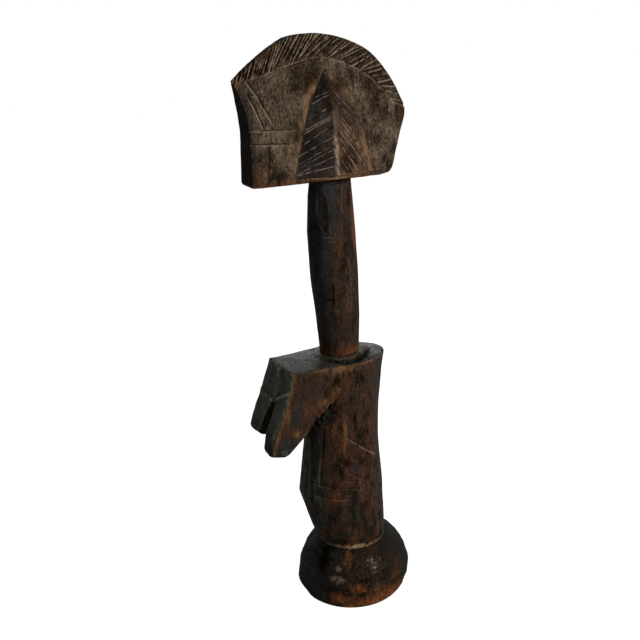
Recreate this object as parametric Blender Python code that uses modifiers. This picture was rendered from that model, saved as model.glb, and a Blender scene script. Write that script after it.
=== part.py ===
"""A carved wooden fertility doll, as its four carved masses: head, neck, torso and base.

The real doll is one block of wood. Its carver parted the masses with deep stop cuts: under the head,
round the foot of the neck and above the base. The nodes are divided at those three cuts.

Metres, +Z up. The doll faces -Y and its left side is +X. The origin lies in the flat underside that
it stands on, on its middle plane.
"""

import math
from collections import namedtuple

import bmesh
import bpy
from mathutils import Matrix, Vector

MM = 0.001

# Heights up the block. Each mass starts SEAM above the one that it stands on.
HEIGHT = 280 * MM
SEAM = 0.3 * MM
BASE_TOP = 29.5 * MM
SHOULDER_EDGE = 131 * MM
NECK_FOOT = 133.5 * MM
CHIN = 218 * MM

# Base: a dome that is widest a little above its flat underside.
BASE_MIDDLE_Y = 0.4 * MM
BASE_FOOT_RADIUS = 29 * MM
BASE_RADIUS = 29.6 * MM
BASE_WIDEST = 6.5 * MM
BASE_SHOULDER_RADIUS = 19 * MM
DOME_POINTS = 10
ROUND_STEPS = 48

# A section of a leaning column: how far it reaches to the front, to the back and to each side.
Section = namedtuple("Section", "height front back half_width")

# Torso column, from the rim above the base to inside the shoulders. The third is the belly's keel.
TORSO_SIDES = 14
TORSO = [
    Section(BASE_TOP + SEAM, -20.6 * MM, 16.6 * MM, 18.4 * MM),
    Section(37 * MM, -23.4 * MM, 16.8 * MM, 18.2 * MM),
    Section(58.5 * MM, -30.0 * MM, 16.2 * MM, 17.0 * MM),
    Section(85 * MM, -26.7 * MM, 13.8 * MM, 15.4 * MM),
    Section(104 * MM, -25.4 * MM, 14.2 * MM, 14.8 * MM),
    Section(129 * MM, -24.0 * MM, 16.8 * MM, 14.0 * MM),
]

# Shoulders: flat in front, round behind, and crowned up to the seat of the neck.
SHOULDER_FRONT = -37.5 * MM
SHOULDER_BACK = 17.3 * MM
SHOULDER_FRONT_HALF_WIDTH = 12 * MM
SHOULDER_HALF_WIDTH = 14 * MM
SHOULDER_WIDEST_Y = -6 * MM
SHOULDER_DEPTH = 5 * MM
SHOULDER_ARC_POINTS = 13
SEAT_MARGIN = 1.2 * MM

# Breasts: a pair of flat wedges, seen from the side as triangles that hang from the shoulders' front
# edge, parted by a cleft that is narrow above and opens downwards. The right one is shorter.
BREAST_ROOT = [(-11.8 * MM, 118 * MM), (-6 * MM, 129 * MM), (SHOULDER_FRONT, SHOULDER_EDGE)]
LEFT_BREAST_TIP = [
    (-50.0 * MM, 97.0 * MM),
    (-49.6 * MM, 91.5 * MM),
    (-47.5 * MM, 89.6 * MM),
    (-41.0 * MM, 89.2 * MM),
]
RIGHT_BREAST_TIP = [
    (-50.8 * MM, 100.0 * MM),
    (-50.4 * MM, 97.5 * MM),
    (-48.0 * MM, 96.0 * MM),
    (-40.0 * MM, 97.0 * MM),
]
BREAST_OVERLAP = 0.5 * MM
CLEFT_TOP = 115.5 * MM
CLEFT_BOTTOM = 86 * MM
CLEFT_HALF_WIDTH = 3.2 * MM
CLEFT_FRONT = -56 * MM
CLEFT_BACK = -33 * MM

# Neck: a leaning column with eight knife-cut sides.
NECK_SIDES = 8
NECK = [
    Section(NECK_FOOT + SEAM, -17.4 * MM, 4.2 * MM, 9.6 * MM),
    Section(150 * MM, -18.8 * MM, 4.6 * MM, 9.8 * MM),
    Section(172 * MM, -21.0 * MM, 4.2 * MM, 10.2 * MM),
    Section(194 * MM, -22.3 * MM, 2.8 * MM, 10.4 * MM),
    Section(210 * MM, -21.5 * MM, 1.4 * MM, 9.8 * MM),
    Section(CHIN - SEAM, -20.5 * MM, 0.7 * MM, 9.2 * MM),
]

# Head: a flat plate with an upright face. Its crest is an arc that runs from the nape's tip over the
# top, and then nearly straight down to the brow's tip. The cheeks are flat, and the plate thins
# across the crest's band to a narrow rim.
CREST_MIDDLE = (-18 * MM, 231.3 * MM)
CREST_RADIUS = HEIGHT - CREST_MIDDLE[1]
CREST_START = 19
CREST_END = 105
CREST_POINTS = 16
CREST_BAND = 10 * MM
CREST_HALF_THICKNESS = 1.5 * MM
CHEEK_MIDDLE = (-15 * MM, 238 * MM)
CHEEK_HALF_THICKNESS = 8 * MM
EDGE_WEAR = 1 * MM

# The rest of the head's rim, from the nape down, along the chin and up the face: (Y, Z), the half
# thickness there, and how far the flat cheek's edge lies inside it.
RimPoint = namedtuple("RimPoint", "place half_thickness inset")
LOWER_RIM = [
    RimPoint((21.5 * MM, 231 * MM), 6 * MM, 2 * MM),
    RimPoint((17.8 * MM, CHIN), 7 * MM, EDGE_WEAR),
    RimPoint((-49.7 * MM, CHIN), 7.6 * MM, EDGE_WEAR),
    RimPoint((-49.5 * MM, 240 * MM), 6.9 * MM, 2 * MM),
    RimPoint((-50.6 * MM, 248 * MM), 6.2 * MM, 3.5 * MM),
    RimPoint((-54.2 * MM, 261.4 * MM), 0.8 * MM, 12 * MM),
    RimPoint((-42.7 * MM, 271.1 * MM), CREST_HALF_THICKNESS, CREST_BAND),
]

# The wedge on each side of the head: a long triangle with a ridge down its middle.
WEDGE_TOP = (-14.5 * MM, 264 * MM)
WEDGE_FRONT = (-29.6 * MM, 220.5 * MM)
WEDGE_BACK = (7.2 * MM, 220.5 * MM)
WEDGE_RIDGE = (-10.3 * MM, 220.5 * MM)
WEDGE_RISE = 4.5 * MM
WEDGE_EDGE_SINK = 0.3 * MM
WEDGE_SINK = 3 * MM

WOOD = {
    "head": (0.16, 0.115, 0.075),
    "neck": (0.10, 0.062, 0.040),
    "torso": (0.17, 0.105, 0.062),
    "base": (0.085, 0.060, 0.042),
}
WOOD_ROUGHNESS = 0.48

# Points closer than this are one point.
WELD = 0.01 * MM


def clear_scene():
    """Remove everything that the scene starts with."""
    for leftover in list(bpy.data.objects):
        bpy.data.objects.remove(leftover, do_unlink=True)


def new_collection(name):
    """A collection in the scene."""
    collection = bpy.data.collections.new(name)
    bpy.context.scene.collection.children.link(collection)
    return collection


def wood(name):
    """The patinated wood of one mass."""
    material = bpy.data.materials.new(name + "_wood")
    material.use_nodes = True
    shader = material.node_tree.nodes["Principled BSDF"]
    shader.inputs["Base Color"].default_value = (*WOOD[name], 1)
    shader.inputs["Roughness"].default_value = WOOD_ROUGHNESS
    shader.inputs["Metallic"].default_value = 0
    return material


def add(name, mesh, collection):
    """Put a mesh into the scene as an object of its own."""
    piece = bpy.data.objects.new(name, mesh)
    collection.objects.link(piece)
    return piece


def finish(bm, name):
    """Turn a bmesh into a mesh whose faces point out."""
    bmesh.ops.recalc_face_normals(bm, faces=bm.faces)
    mesh = bpy.data.meshes.new(name)
    bm.to_mesh(mesh)
    bm.free()
    return mesh


def column(name, sections, sides, collection):
    """A column with flat sides: a polygon extruded from each section to the next, closed at both ends."""
    bm = bmesh.new()
    ring = bmesh.ops.create_circle(bm, segments=sides, radius=1)["verts"]
    before = Section(0, -1, 1, 1)
    for section in sections:
        if section is not sections[0]:
            edges = [edge for edge in bm.edges if edge.verts[0] in ring and edge.verts[1] in ring]
            grown = bmesh.ops.extrude_edge_only(bm, edges=edges)["geom"]
            ring = [item for item in grown if isinstance(item, bmesh.types.BMVert)]
        depth_ratio = (section.back - section.front) / (before.back - before.front)
        for vert in ring:
            vert.co.x *= section.half_width / before.half_width
            vert.co.y = section.front + (vert.co.y - before.front) * depth_ratio
            vert.co.z = section.height
        before = section
    bmesh.ops.holes_fill(bm, edges=bm.edges, sides=sides)
    return add(name, finish(bm, name), collection)


def loft(name, rings, collection):
    """A solid through rings of points that differ in shape, closed at both ends."""
    bm = bmesh.new()
    rows = [[bm.verts.new(point) for point in ring] for ring in rings]
    for row, next_row in zip(rows, rows[1:]):
        for i in range(len(row)):
            j = (i + 1) % len(row)
            bm.faces.new((row[i], row[j], next_row[j], next_row[i]))
    bm.faces.new(rows[0])
    bm.faces.new(rows[-1])
    return add(name, finish(bm, name), collection)


def side_plate(name, outline, half_thickness, collection):
    """A flat plate from its side outline, a list of (Y, Z), with its middle on the plane X = 0."""
    curve = bpy.data.curves.new(name, "CURVE")
    curve.dimensions = "2D"
    curve.fill_mode = "BOTH"
    curve.extrude = half_thickness
    spline = curve.splines.new("POLY")
    spline.points.add(len(outline) - 1)
    for point, (y, z) in zip(spline.points, outline):
        point.co = (y, z, 0, 1)
    spline.use_cyclic_u = True
    drawn = add(name, curve, collection)
    bpy.context.view_layer.update()
    evaluated = drawn.evaluated_get(bpy.context.evaluated_depsgraph_get())
    bm = bmesh.new()
    bm.from_mesh(bpy.data.meshes.new_from_object(evaluated))
    bpy.data.objects.remove(drawn, do_unlink=True)
    bmesh.ops.remove_doubles(bm, verts=bm.verts, dist=WELD)
    turn_upright = Matrix(((0, 0, 1), (1, 0, 0), (0, 1, 0)))
    bmesh.ops.transform(bm, matrix=turn_upright.to_4x4(), verts=bm.verts)
    return add(name, finish(bm, name), collection)


def hull(name, points, collection):
    """The convex solid round a set of points."""
    bm = bmesh.new()
    for point in points:
        bm.verts.new(point)
    made = bmesh.ops.convex_hull(bm, input=bm.verts)
    unused = [item for item in made["geom_interior"] if isinstance(item, bmesh.types.BMVert)]
    bmesh.ops.delete(bm, geom=unused, context="VERTS")
    return add(name, finish(bm, name), collection)


def boolean(target, other, operation):
    """Join another solid to the target, or cut it away, and hide that other solid."""
    modifier = target.modifiers.new(other.name, "BOOLEAN")
    modifier.operation = operation
    modifier.solver = "EXACT"
    modifier.object = other
    other.hide_render = True
    other.display_type = "WIRE"


def make_base(parts):
    """The domed foot: a turned profile that runs down its outer side to the flat underside."""
    dome_height = (BASE_TOP - BASE_WIDEST) / math.sqrt(1 - (BASE_SHOULDER_RADIUS / BASE_RADIUS) ** 2)
    profile = [(0, BASE_TOP), (BASE_SHOULDER_RADIUS, BASE_TOP)]
    for step in range(1, DOME_POINTS):
        z = BASE_TOP + (BASE_WIDEST - BASE_TOP) * step / (DOME_POINTS - 1)
        profile.append((BASE_RADIUS * math.sqrt(1 - ((z - BASE_WIDEST) / dome_height) ** 2), z))
    profile += [(BASE_FOOT_RADIUS, 0), (0, 0)]
    mesh = bpy.data.meshes.new("base")
    links = [(i, i + 1) for i in range(len(profile) - 1)]
    mesh.from_pydata([(radius, 0, z) for radius, z in profile], links, [])
    base = add("base", mesh, parts)
    base.location.y = BASE_MIDDLE_Y
    screw = base.modifiers.new("turned", "SCREW")
    screw.axis = "Z"
    screw.steps = ROUND_STEPS
    screw.render_steps = ROUND_STEPS
    screw.use_merge_vertices = True
    screw.merge_threshold = WELD
    return base


def shoulder_outline():
    """The shoulders from above, as (X, Y): two front corners and a round back."""
    outline = []
    for step in range(SHOULDER_ARC_POINTS):
        angle = math.pi * step / (SHOULDER_ARC_POINTS - 1)
        x = SHOULDER_HALF_WIDTH * math.cos(angle)
        y = SHOULDER_WIDEST_Y + (SHOULDER_BACK - SHOULDER_WIDEST_Y) * math.sin(angle)
        outline.append((x, y))
    for side in (-1, 1):
        outline.append((side * SHOULDER_FRONT_HALF_WIDTH, SHOULDER_FRONT))
    return outline


def make_shoulders(helpers):
    """The crowned slab between the torso and the neck, with a flat seat for the neck."""
    seat = NECK[0]
    middle = (seat.front + seat.back) / 2
    half_depth = (seat.back - seat.front) / 2 + SEAT_MARGIN
    half_width = seat.half_width + SEAT_MARGIN
    points = []
    for x, y in shoulder_outline():
        points += [(x, y, SHOULDER_EDGE), (x, y, SHOULDER_EDGE - SHOULDER_DEPTH)]
    for step in range(NECK_SIDES):
        angle = 2 * math.pi * step / NECK_SIDES
        points.append((half_width * math.cos(angle), middle + half_depth * math.sin(angle), NECK_FOOT))
    return hull("shoulders", points, helpers)


def make_breast(name, side, tip, helpers):
    """One hanging wedge, as wide as the shoulders above it, from the middle plane outwards."""
    half_width = (SHOULDER_HALF_WIDTH + BREAST_OVERLAP) / 2
    breast = side_plate(name, [*tip, *BREAST_ROOT], half_width, helpers)
    reach = SHOULDER_WIDEST_Y - SHOULDER_FRONT
    narrowing = 1 - SHOULDER_FRONT_HALF_WIDTH / SHOULDER_HALF_WIDTH
    for vert in breast.data.vertices:
        forward = min(max((SHOULDER_WIDEST_Y - vert.co.y) / reach, 0), 1)
        vert.co.x = side * (vert.co.x + half_width - BREAST_OVERLAP) * (1 - forward * narrowing)
    if side < 0:
        breast.data.flip_normals()
    return breast


def make_torso(parts, helpers):
    """The column of the body with the shoulders and the breasts on it, cleft in front."""
    torso = column("torso", TORSO, TORSO_SIDES, parts)
    boolean(torso, make_shoulders(helpers), "UNION")
    boolean(torso, make_breast("left_breast", 1, LEFT_BREAST_TIP, helpers), "UNION")
    boolean(torso, make_breast("right_breast", -1, RIGHT_BREAST_TIP, helpers), "UNION")
    cleft_points = []
    for y in (CLEFT_FRONT, CLEFT_BACK):
        cleft_points.append((0, y, CLEFT_TOP))
        cleft_points.append((-CLEFT_HALF_WIDTH, y, CLEFT_BOTTOM))
        cleft_points.append((CLEFT_HALF_WIDTH, y, CLEFT_BOTTOM))
    boolean(torso, hull("cleft", cleft_points, helpers), "DIFFERENCE")
    return torso


def head_rim():
    """The head's rim seen from the side, starting at the front of the crest and ending at the brow."""
    rim = []
    for step in range(CREST_POINTS):
        angle = math.radians(CREST_END + (CREST_START - CREST_END) * step / (CREST_POINTS - 1))
        y = CREST_MIDDLE[0] + CREST_RADIUS * math.cos(angle)
        z = CREST_MIDDLE[1] + CREST_RADIUS * math.sin(angle)
        rim.append(RimPoint((y, z), CREST_HALF_THICKNESS, CREST_BAND))
    return rim + LOWER_RIM


def cheek_point(rim_point):
    """The point of the flat cheek's edge that lies inside a point of the rim."""
    place, middle = Vector(rim_point.place), Vector(CHEEK_MIDDLE)
    return place + (middle - place).normalized() * rim_point.inset


def make_wedge(side, name, helpers):
    """The ridged wedge on one side of the head, sunk a little way into the cheek."""
    buried = side * (CHEEK_HALF_THICKNESS - WEDGE_SINK)
    surface = side * (CHEEK_HALF_THICKNESS - WEDGE_EDGE_SINK)
    ridge = side * (CHEEK_HALF_THICKNESS + WEDGE_RISE)
    points = [(ridge, *WEDGE_RIDGE)]
    for corner in (WEDGE_TOP, WEDGE_FRONT, WEDGE_BACK):
        points += [(surface, *corner), (buried, *corner)]
    return hull(name, points, helpers)


def make_head(parts, helpers):
    """The plate of the head, lofted from cheek to rim to rim to cheek, with a wedge on each side."""
    rim = head_rim()
    cheek = [cheek_point(point) for point in rim]
    rings = [
        [(CHEEK_HALF_THICKNESS, y, z) for y, z in cheek],
        [(point.half_thickness, *point.place) for point in rim],
        [(-point.half_thickness, *point.place) for point in rim],
        [(-CHEEK_HALF_THICKNESS, y, z) for y, z in cheek],
    ]
    head = loft("head", rings, parts)
    boolean(head, make_wedge(1, "left_wedge", helpers), "UNION")
    boolean(head, make_wedge(-1, "right_wedge", helpers), "UNION")
    return head


def build():
    """Model the doll."""
    clear_scene()
    parts = new_collection("fertility_doll")
    helpers = new_collection("joined and cut shapes")
    pieces = [
        make_base(parts),
        make_torso(parts, helpers),
        column("neck", NECK, NECK_SIDES, parts),
        make_head(parts, helpers),
    ]
    for piece in pieces:
        piece.data.materials.append(wood(piece.name))


build()
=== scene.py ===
import math

import bpy
import numpy as np
from mathutils import Matrix, Vector


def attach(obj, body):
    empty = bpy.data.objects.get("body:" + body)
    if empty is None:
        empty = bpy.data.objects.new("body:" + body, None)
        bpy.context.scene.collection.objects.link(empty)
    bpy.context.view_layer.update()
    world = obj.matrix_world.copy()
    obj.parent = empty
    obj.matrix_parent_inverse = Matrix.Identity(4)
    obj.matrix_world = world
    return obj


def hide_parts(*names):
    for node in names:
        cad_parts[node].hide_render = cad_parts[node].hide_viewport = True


# The carved surface of a wooden fertility doll, one visual piece over each of the frame's four masses.
#
# Each mass is a solid given by a field: a number at every place that is below zero inside the wood and
# grows by one for each millimetre outwards. Knife work is done on the field, and the surface where it
# is zero becomes the mesh. Lengths are millimetres until a mesh is made; +Z is up, the doll faces -Y,
# and its left side is +X.

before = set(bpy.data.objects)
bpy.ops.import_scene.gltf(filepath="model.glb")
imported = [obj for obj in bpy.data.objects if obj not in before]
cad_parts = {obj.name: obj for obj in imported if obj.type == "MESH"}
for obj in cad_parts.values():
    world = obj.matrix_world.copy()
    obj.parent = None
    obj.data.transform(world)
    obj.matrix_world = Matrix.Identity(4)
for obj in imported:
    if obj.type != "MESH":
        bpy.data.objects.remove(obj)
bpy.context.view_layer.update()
MM = 0.001

# Width of the field's cells in each mass.
HEAD_CELL = 0.27
NECK_CELL = 0.3
TORSO_CELL = 0.36
BASE_CELL = 0.34
TRIANGLES = 190000


# ---------------------------------------------------------------- fields


def axes_of(low, high, cell):
    """Sample places along X, Y and Z of a box, as arrays that broadcast against each other."""
    rows = [np.arange(a - 2.5 * cell, b + 3 * cell, cell) for a, b in zip(low, high)]
    x = rows[0][:, None, None].astype(np.float32)
    y = rows[1][None, :, None].astype(np.float32)
    z = rows[2][None, None, :].astype(np.float32)
    return x, y, z, cell


def smooth_max(a, b, blend):
    """The larger of two fields, with the edge between them rounded over about the blend's width."""
    near = np.maximum(blend - np.abs(a - b), 0)
    return np.maximum(a, b) + near * near / (4 * blend)


def smooth_min(a, b, blend):
    return -smooth_max(-a, -b, blend)


def along(z, table):
    """Read a table of (height, value) pairs at heights z."""
    table = sorted(table)
    return np.interp(z, [row[0] for row in table], [row[1] for row in table]).astype(np.float32)


def inside_outline(outline, u, v):
    """Distance to a closed outline, above zero inside it."""
    nearest = np.full(np.broadcast(u, v).shape, 1e6, np.float32)
    inside = np.zeros(nearest.shape, bool)
    for (u0, v0), (u1, v1) in zip(outline, outline[1:] + outline[:1]):
        du, dv = u1 - u0, v1 - v0
        t = np.clip(((u - u0) * du + (v - v0) * dv) / (du * du + dv * dv), 0, 1)
        nearest = np.minimum(nearest, np.hypot(u - u0 - t * du, v - v0 - t * dv))
        if dv:
            inside ^= ((v0 > v) != (v1 > v)) & (u < (v - v0) * du / dv + u0)
    return np.where(inside, nearest, -nearest)


def cut_depth(cuts, u, v):
    """Depth of a set of straight knife cuts, each (start, end, width, depth), which fade at their ends."""
    depth = np.zeros(np.broadcast(u, v).shape, np.float32)
    for (u0, v0), (u1, v1), width, deep in cuts:
        du, dv = u1 - u0, v1 - v0
        length = math.hypot(du, dv)
        t = np.clip(((u - u0) * du + (v - v0) * dv) / length**2, 0, 1)
        away = np.hypot(u - u0 - t * du, v - v0 - t * dv)
        fade = np.minimum(1, 0.35 + np.minimum(t, 1 - t) * length / 1.5)
        depth = np.maximum(depth, deep * fade * np.clip(1 - away / (width / 2), 0, 1))
    return depth


def dish(field, x, y, z, middle, out, length, width, depth, lean=0):
    """Scoop a long shallow hollow: its middle, which way it faces, its half length and half width."""
    out = Vector(out).normalized()
    run = (Vector((0, 0, 1)) - out * out.z).normalized()
    run.rotate(Matrix.Rotation(math.radians(lean), 3, out))
    over = out.cross(run)
    x, y, z = x - middle[0], y - middle[1], z - middle[2]
    height = x * out.x + y * out.y + z * out.z
    lengthwise = (x * run.x + y * run.y + z * run.z) / length
    crosswise = (x * over.x + y * over.y + z * over.z) / width
    reach = lengthwise**2 + crosswise**2
    return np.maximum(field, np.minimum(height + depth * (1 - reach), 4 * (1.5 - reach)))


def facet(field, x, y, z, middle, out, depth):
    """Slice a rounded solid flat, so far below a place on its surface."""
    out = Vector(out).normalized()
    height = (x - middle[0]) * out.x + (y - middle[1]) * out.y + (z - middle[2]) * out.z
    return np.maximum(field, height + depth)


def lumps(points, size, seed, layers=1):
    """Smooth random numbers between -1 and 1 over space. Size is a lump's width along X, Y and Z."""
    random = np.random.default_rng(seed)
    total = np.zeros(len(points))
    weight_sum = 0
    for layer in range(layers):
        table = random.uniform(-1, 1, 8192)
        place = points * (2**layer) / np.array(size) + 100.5
        cell = np.floor(place).astype(np.int64)
        part = place - cell
        part = part * part * (3 - 2 * part)
        value = np.zeros(len(points))
        for corner in range(8):
            step = np.array([corner & 1, corner >> 1 & 1, corner >> 2 & 1])
            share = np.prod(np.where(step, part, 1 - part), axis=1)
            key = (cell + step) @ np.array([73856093, 19349663, 83492791])
            value += share * table[key & 8191]
        total += value * 0.5**layer
        weight_sum += 0.5**layer
    return total / weight_sum


def settle(field, cell):
    """Fill one corner wherever the wood only meets itself across the diagonal of a cell's face, so that
    no edge of the surface is shared by four faces."""
    crossings = 1
    while crossings:
        crossings = 0
        for u, v in ((0, 1), (0, 2), (1, 2)):
            corners = []
            for du, dv in ((0, 0), (1, 1), (0, 1), (1, 0)):
                part = [slice(None)] * 3
                part[u] = slice(du, field.shape[u] - 1 + du)
                part[v] = slice(dv, field.shape[v] - 1 + dv)
                corners.append(field[tuple(part)])
            for a, b, c, d in (corners, corners[2:] + corners[:2]):
                crossed = (a >= 0) & (b >= 0) & (c < 0) & (d < 0)
                a[crossed] = -0.05 * cell
                crossings += crossed.sum()


def surface(field, x, y, z, cell):
    """Points and four-sided faces of the surface where a field is zero."""
    settle(field, cell)
    shape = field.shape
    start = np.array([x.flat[0], y.flat[0], z.flat[0]])
    cells, places, quads = [], [], []
    for axis in range(3):
        before = [slice(None)] * 3
        after = [slice(None)] * 3
        before[axis], after[axis] = slice(0, -1), slice(1, None)
        a, b = field[tuple(before)], field[tuple(after)]
        crossing = np.argwhere((a < 0) != (b < 0))
        value_a, value_b = a[tuple(crossing.T)], b[tuple(crossing.T)]
        place = crossing.astype(float)
        place[:, axis] += value_a / (value_a - value_b)
        u, v = (axis + 1) % 3, (axis + 2) % 3
        corners = []
        for du, dv in ((0, 0), (1, 0), (1, 1), (0, 1)):
            corner = crossing.copy()
            corner[:, u] -= du
            corner[:, v] -= dv
            corners.append(np.ravel_multi_index(corner.T, shape))
            cells.append(corners[-1])
            places.append(place)
        quad = np.stack(corners, 1)
        quads.append(np.where((value_a < 0)[:, None], quad, quad[:, ::-1]))
    used, index = np.unique(np.concatenate(cells), return_inverse=True)
    places = np.concatenate(places)
    count = np.bincount(index)
    points = np.stack([np.bincount(index, places[:, k]) / count for k in range(3)], 1)
    faces = np.searchsorted(used, np.concatenate(quads))
    return start + points * cell, faces


# ---------------------------------------------------------------- meshes


def normals_of(points, faces):
    turned = np.cross(points[faces[:, 2]] - points[faces[:, 0]], points[faces[:, 3]] - points[faces[:, 1]])
    total = np.zeros_like(points)
    for k in range(3):
        for corner in range(4):
            total[:, k] += np.bincount(faces[:, corner], turned[:, k], len(points))
    return total / np.maximum(np.linalg.norm(total, axis=1), 1e-9)[:, None]


def spread(values, faces, rounds):
    """Average values over neighbouring points, a number of times."""
    count = np.bincount(faces.ravel(), minlength=len(values))
    for _ in range(rounds):
        face_mean = values[faces].mean(1)
        values = np.bincount(faces.ravel(), np.repeat(face_mean, 4), len(values)) / count
    return values


def bend_of(points, faces, rounds):
    """How sharply the surface bends: above zero on edges and below zero in hollows."""
    smooth = np.stack([spread(points[:, k], faces, rounds) for k in range(3)], 1)
    return ((points - smooth) * normals_of(points, faces)).sum(1)


def make_piece(name, points, faces, masks):
    """A shaded object from a surface in millimetres, with a named number at every point for each mask."""
    mesh = bpy.data.meshes.new(name)
    mesh.vertices.add(len(points))
    mesh.vertices.foreach_set("co", (points * MM).astype(np.float32).ravel())
    mesh.loops.add(faces.size)
    mesh.loops.foreach_set("vertex_index", faces.ravel().astype(np.int32))
    mesh.polygons.add(len(faces))
    mesh.polygons.foreach_set("loop_start", np.arange(0, faces.size, 4, dtype=np.int32))
    mesh.update(calc_edges=True)
    mesh.validate()
    for mask, values in masks.items():
        layer = mesh.attributes.new(mask, "FLOAT", "POINT")
        layer.data.foreach_set("value", np.clip(values, 0, 1).astype(np.float32))
    mesh.shade_smooth()
    piece = bpy.data.objects.new(name, mesh)
    bpy.context.scene.collection.objects.link(piece)
    if len(faces) * 2 > TRIANGLES:
        thin = piece.modifiers.new("thin", "DECIMATE")
        thin.ratio = TRIANGLES / (len(faces) * 2)
        bpy.context.view_layer.update()
        evaluated = piece.evaluated_get(bpy.context.evaluated_depsgraph_get())
        thinned = bpy.data.meshes.new_from_object(evaluated)
        piece.modifiers.clear()
        piece.data = thinned
        bpy.data.meshes.remove(mesh)
        thinned.name = name
    return piece


# ---------------------------------------------------------------- masks


def level(value):
    """A number held between 0 and 1."""
    return np.clip(value, 0, 1)


def ease(value, start, end):
    """0 before a start and 1 past an end. The end may be the smaller number."""
    return level((value - start) / (end - start))


def near(distance, reach, core=1.2):
    """1 close to a line, and 0 from core times the reach onwards."""
    return level(core - np.abs(distance) / reach)


def ragged(noise, middle, swing=1.0):
    """A share that goes up and down with noise."""
    return level(middle + swing * noise)


def patch(y, z, middle, wide, tall, core=1.2, noise=0):
    """1 round a place on a side, and 0 from core times its half width and half height onwards."""
    return level(core - np.hypot((y - middle[0]) / wide, (z - middle[1]) / tall) + noise)


def patches(places, y, z, core, noise):
    """The most of some ragged patches, each (middle, half width, half height)."""
    return most(*(patch(y, z, *place, core, noise) for place in places))


def most(*masks):
    return np.maximum.reduce(masks)


def beside(cuts, away):
    """The same cuts, each moved sideways towards the front and the top."""
    moved = []
    for (y0, z0), (y1, z1), width, deep in cuts:
        length = math.hypot(y1 - y0, z1 - z0)
        across, up = (z1 - z0) / length * away, -(y1 - y0) / length * away
        if across > 0:
            across, up = -across, -up
        moved.append(((y0 + across, z0 + up), (y1 + across, z1 + up), width, deep))
    return moved


def on_cuts(cuts, points, wider):
    """1 along the middle of a set of cuts, falling to 0 at their edges when each is made wider."""
    wide_cuts = [(start, end, width + wider, 1) for start, end, width, _ in cuts]
    return cut_depth(wide_cuts, points[:, 1], points[:, 2])


# ---------------------------------------------------------------- head

CREST_MIDDLE = (-18, 231.3)
CREST_RADIUS = 48.7
# The seeds of the crest's hatching and of the wedge's cuts, on the left side and on the right.
SIDE_SEEDS = {1: (11, 5), -1: (23, 6)}


def crest_point(degrees, radius=CREST_RADIUS):
    angle = math.radians(degrees)
    return (CREST_MIDDLE[0] + radius * math.cos(angle), CREST_MIDDLE[1] + radius * math.sin(angle))


# The rim seen from the side: the brow, the crest's arc over the top, the nape, the chin and the face.
BROW = (-54.5, 261.6)
CREST_RIM = [BROW, (-48.2, 266.6), (-42.3, 271.0), (-36.2, 274.9)]
CREST_RIM += [
    crest_point(degrees, CREST_RADIUS - 0.3 + 0.7 * math.exp(-(((degrees - 57) / 10) ** 2)))
    for degrees in range(105, 24, -5)
]
CREST_RIM += [(27.5, 249.2), (28.4, 246.4)]
HEAD_OUTLINE = CREST_RIM + [
    (27.7, 243.4), (24.6, 237), (21.8, 230), (19.9, 223.5), (19.0, 221.0), (17.0, 219.2), (12, 218.2),
    (-12, 217.8), (-49.2, 217.3), (-49.9, 218.6), (-49.7, 230), (-49.5, 240), (-50.6, 248), (-52.9, 256.5),
]  # fmt: skip
# The incised line between the crest's band and the cheek, from the brow to the nape.
BAND_LINE = [(-53, 260.6), (-48.3, 261.8), (-41.7, 263.3), (-35.9, 265.7)]
BAND_LINE += [(-30.5, 267.2), (-25.2, 268.6), (-18, 270.0), (-12, 269.1), (-5.3, 267.4), (2.0, 264.4)]
BAND_LINE += [(9.0, 260.0), (13.8, 255.6), (18.0, 250.6), (21.6, 248.0), (26, 247.0)]
CHEEK_OUTLINE = BAND_LINE + [(40, 246), (60, 240), (60, 190), (-90, 190), (-90, 255)]
# How a hatching cut leans above the +Y direction, by its place round the crest.
HATCH_LEAN = [(20, -14), (27, -12), (34, 1), (40, 6), (54, 21), (69, 28), (78, 30), (87, 46), (93, 52)]
HATCH_LEAN += [(98, 57), (106, 62), (114, 66), (121, 68), (130, 68), (145, 66)]
# Heights and Y of the face's edge.
FACE_LINE = [(218, -49.7), (240, -49.5), (248, -50.6), (256.5, -52.9), (262, -54.3)]
# The wedge: heights and Y of its front valley, ridge and back edge.
WEDGE_FRONT = [(265, -14.2), (257.8, -17.0), (251.2, -20.8), (240, -23.9), (233.7, -25.6), (221, -29.9)]
WEDGE_RIDGE = [(265, -14.0), (257.7, -13.2), (250.9, -12.3), (240.7, -11.8), (230.7, -11.4), (221, -11.1)]
WEDGE_BACK = [(265, -13.7), (261.6, -12.3), (258.5, -8.2), (254.4, -4.4), (248.2, -0.4), (242, 2.4)]
WEDGE_BACK += [(235.3, 4.6), (227.4, 6.4), (221, 7.8)]
WEDGE_SHOULDER = [(265, -14.6), (258.1, -21.6), (251.1, -25.2), (244.9, -27.2), (237.9, -27.8)]
WEDGE_SHOULDER += [(230.2, -29.3), (221, -31.5)]
WEDGE_FOOT = 220.3
WEDGE_TOP = 264
RIDGE_RISE = [(266, 5.0), (258, 6.6), (250, 8.4), (240, 10.2), (230, 11.4), (221, 12.2)]


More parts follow.
